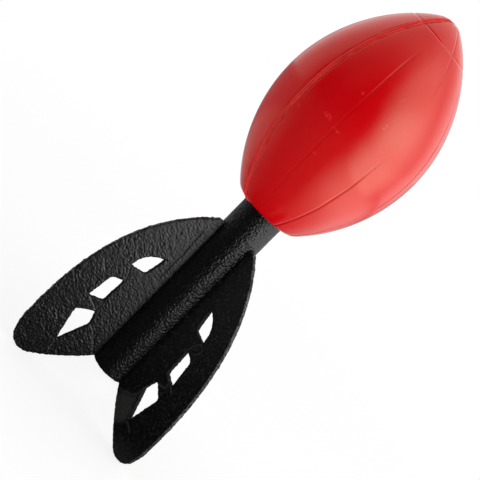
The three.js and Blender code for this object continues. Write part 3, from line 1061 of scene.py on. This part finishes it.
def cross_linked_sheet_foam():
    """Black cross-linked PE foam sheet, crumpled as it came off the roll and die-cut.

    The wrinkled skin is matt, and lint clings to it. Its raised wrinkles are painted greyer and
    its
    hollows darker: partly wear from rubbing, partly painted shade. The cut edges are duller, and
    their walls are painted darker, a painted shade. Round the outside they carry pale fuzz in
    patches: the cells there are torn open, and the paleness is partly a painted highlight.
    """
    material, tree = start_material("cross-linked polyethylene foam sheet, black")
    place = add(tree, "ShaderNodeTexCoord").outputs["Object"]
    wrinkle, crease, cut_face, folded, outer_edge = kept_numbers(
        tree, "wrinkle", "crease", "cut_face", "folded", "outer_edge")
    grain = add(tree, "ShaderNodeTexNoise",
                {"Vector": place, "Scale": 1 / (1.1 * MM), "Detail": 2.0, "Roughness": 0.5})
    # Raised wrinkles lighter and hollows darker: partly wear from rubbing, partly painted shade
    wrinkle_wear_and_shade = add(tree, "ShaderNodeMath", {0: wrinkle, 1: grain}, operation="MULTIPLY")
    lint = pattern(tree, 1.3 * MM, {"Vector": place, "Detail": 1.0},
                   {"From Min": 0.55, "From Max": 0.7})
    fuzz = pattern(tree, 1.4 * MM, {"Vector": place, "Detail": 3.0, "Roughness": 0.7},
                   {"From Min": 0.44, "From Max": 0.56})
    tufts = pattern(tree, 7 * MM, {"Vector": place},
                    {"From Min": 0.35, "From Max": 0.6, "To Min": 0.15})
    patchy = add(tree, "ShaderNodeMath", {0: fuzz, 1: tufts}, operation="MULTIPLY")
    # Pale fuzz on the outer edge only: torn-open cells, and partly a painted highlight where the
    # edge catches the light
    fuzz_and_edge_highlight = add(tree, "ShaderNodeMath", {0: patchy, 1: outer_edge}, operation="MULTIPLY")
    black = layered(tree, "#070707", [
        (wrinkle_wear_and_shade, "#131313"),
        (lint, "#242424"),
        (folded, "#2C2C2B"),
        (crease, "#343433"),
        # The cut walls are painted darker than the skin, a painted shade; round the outer edge
        # they take pale fuzz, partly a painted highlight
        (cut_face, layered(tree, "#050505", [(fuzz_and_edge_highlight, "#5E5E5E")])),
    ])
    roughness = add(tree, "ShaderNodeMapRange",
                    {"Value": cut_face, "To Min": 0.36, "To Max": 1.0})
    end_material(tree, {
        "Base Color": black,
        "Roughness": roughness,
        "IOR": 1.5,
        "Specular IOR Level": 0.6,
        "Normal": add(tree, "ShaderNodeBump", {"Height": grain, "Distance": 0.16 * MM}),
    })
    return material


# Studio

def make_camera():
    data = bpy.data.cameras.new("camera")
    data.lens = CAMERA_LENS
    data.sensor_width = CAMERA_SENSOR
    camera = new_piece("camera", data)
    aimed = (CAMERA_AIM - CAMERA_PLACE).to_track_quat("-Z", "Y")
    camera.rotation_mode = "QUATERNION"
    camera.rotation_quaternion = aimed @ Quaternion((0, 0, 1), CAMERA_ROLL)
    camera.location = CAMERA_PLACE
    bpy.context.scene.camera = camera


def make_soft_box(name, azimuth, elevation, distance, width, height, brightness, edge_share):
    """A rectangular lamp that faces the toy and, as cloth over a bulb does, dims at its edges."""
    data = bpy.data.lights.new(name, "AREA")
    data.shape = "RECTANGLE"
    data.size, data.size_y = width, height
    data.energy = brightness * math.pi * width * height
    data.use_nodes = True
    tree = data.node_tree
    tree.nodes.clear()
    across = add(tree, "ShaderNodeNewGeometry").outputs["Parametric"]
    centred = add(tree, "ShaderNodeVectorMath", {0: across, 1: (0.5, 0.5, 0.0)},
                  operation="SUBTRACT")
    spans = add(tree, "ShaderNodeVectorMath", {0: centred}, operation="ABSOLUTE")
    from_middle = add(tree, "ShaderNodeSeparateXYZ", {0: spans}).outputs
    wide, tall = (
        add(tree, "ShaderNodeMapRange",
            {"Value": from_middle[axis], "From Min": 0.5 * (1 - edge_share), "From Max": 0.5,
             "To Min": 1.0, "To Max": 0.0}, interpolation_type="SMOOTHSTEP")
        for axis in ("X", "Y"))
    level = add(tree, "ShaderNodeMath", {0: wide, 1: tall}, operation="MULTIPLY")
    glow = add(tree, "ShaderNodeEmission", {"Color": WHITE, "Strength": level})
    add(tree, "ShaderNodeOutputLight", {"Surface": glow})
    lamp = new_piece(name, data)
    toward = direction(azimuth, elevation)
    lamp.location = STUDIO_CENTRE + distance * toward
    lamp.rotation_mode = "QUATERNION"
    lamp.rotation_quaternion = toward.to_track_quat("Z", "Y")
    lamp.visible_glossy = name != UNREFLECTED_LAMP


def facing(tree, heading, towards):
    """The share by which a heading faces a direction."""
    return add(tree, "ShaderNodeVectorMath", {0: heading, 1: towards},
               operation="DOT_PRODUCT").outputs["Value"]


def make_world():
    """White to the camera. As light it is a white room, but for a dark end behind the camera."""
    world = bpy.data.worlds.new("studio")
    world.use_nodes = True
    tree = world.node_tree
    tree.nodes.clear()
    heading = add(tree, "ShaderNodeTexCoord").outputs["Generated"]
    level = add(tree, "ShaderNodeMapRange",
                {"Value": facing(tree, heading, direction(DARK_END_AZIMUTH)), **DARK_END},
                interpolation_type="SMOOTHSTEP")
    for azimuth, elevation, reach, brightness in ROOM_GLOWS:
        glow = add(tree, "ShaderNodeMapRange",
                   {"Value": facing(tree, heading, direction(azimuth, elevation)),
                    "From Min": math.cos(math.radians(reach)), "To Max": brightness},
                   interpolation_type="SMOOTHSTEP")
        level = add(tree, "ShaderNodeMath", {0: level, 1: glow})
    light = add(tree, "ShaderNodeBackground", {"Color": WHITE, "Strength": level})
    white = add(tree, "ShaderNodeBackground", {"Color": WHITE})
    seen = add(tree, "ShaderNodeLightPath").outputs["Is Camera Ray"]
    mixed = add(tree, "ShaderNodeMixShader", {0: seen, 1: light, 2: white})
    add(tree, "ShaderNodeOutputWorld", {"Surface": mixed})
    bpy.context.scene.world = world


def matt_white_floor():
    """White paper sweep, lit by the lamps: the camera sees it nearly white, with a soft shadow.

    Glossy surfaces see it as bright where the studio's lamps would light it.
    """
    material, tree = start_material("matt white studio floor")
    place = add(tree, "ShaderNodeTexCoord").outputs["Object"]
    away = add(tree, "ShaderNodeVectorMath", {0: place}, operation="LENGTH").outputs["Value"]
    whiteness, near, far = (
        add(tree, "ShaderNodeMapRange", {"Value": away, **change},
            interpolation_type="SMOOTHSTEP")
        for change in (FLOOR_WHITENESS, FLOOR_NEAR, FLOOR_FAR))
    path = add(tree, "ShaderNodeLightPath").outputs
    plain_share = add(tree, "ShaderNodeMath", {0: path["Is Camera Ray"], 1: whiteness},
                      operation="MULTIPLY")
    paper = add(tree, "ShaderNodeBsdfDiffuse", {"Color": linear("#F4F4F4")})
    plain = add(tree, "ShaderNodeEmission", {"Color": WHITE})
    seen = add(tree, "ShaderNodeMixShader", {0: plain_share, 1: paper, 2: plain})

    heading = add(tree, "ShaderNodeVectorMath", {0: place}, operation="NORMALIZE")
    level = 0.0
    for azimuth, start, end, brightness in FLOOR_GLOWS:
        glow = add(tree, "ShaderNodeMapRange",
                   {"Value": facing(tree, heading, direction(azimuth)), "From Min": start,
                    "From Max": end, "To Max": brightness}, interpolation_type="SMOOTHSTEP")
        level = add(tree, "ShaderNodeMath", {0: level, 1: glow})
    for dimming in (near, far):
        level = add(tree, "ShaderNodeMath", {0: level, 1: dimming}, operation="MULTIPLY")
    reflected = add(tree, "ShaderNodeEmission", {"Color": WHITE, "Strength": level})
    mixed = add(tree, "ShaderNodeMixShader", {0: path["Is Glossy Ray"], 1: seen, 2: reflected})
    add(tree, "ShaderNodeOutputMaterial", {"Surface": mixed})
    material.cycles.emission_sampling = "NONE"
    return material


def make_floor():
    """The floor under the fins' tips."""
    half, height = FLOOR_HALF_WIDTH, cad_box[0][2]
    corners = [(-half, -half, height), (half, -half, height), (half, half, height),
               (-half, half, height)]
    mesh = bpy.data.meshes.new("floor")
    mesh.from_pydata(corners, [], [(0, 1, 2, 3)])
    mesh.materials.append(matt_white_floor())
    new_piece("floor", mesh)


def dress(piece, node):
    """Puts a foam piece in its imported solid's place."""
    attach(piece, BODY)
    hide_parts(node)


make_camera()
make_world()
make_floor()
for lamp_name, lamp_sizes in SOFT_BOXES.items():
    make_soft_box(lamp_name, *lamp_sizes)
bpy.context.scene.view_settings.view_transform = "Standard"

dress(make_head(self_skinned_polyurethane_foam()), "foam_head")
dress(make_shaft(extruded_polyethylene_foam()), "tail_shaft")
for fin, fin_node in zip(make_fins(cross_linked_sheet_foam()), FIN_CREASES):
    dress(fin, fin_node)
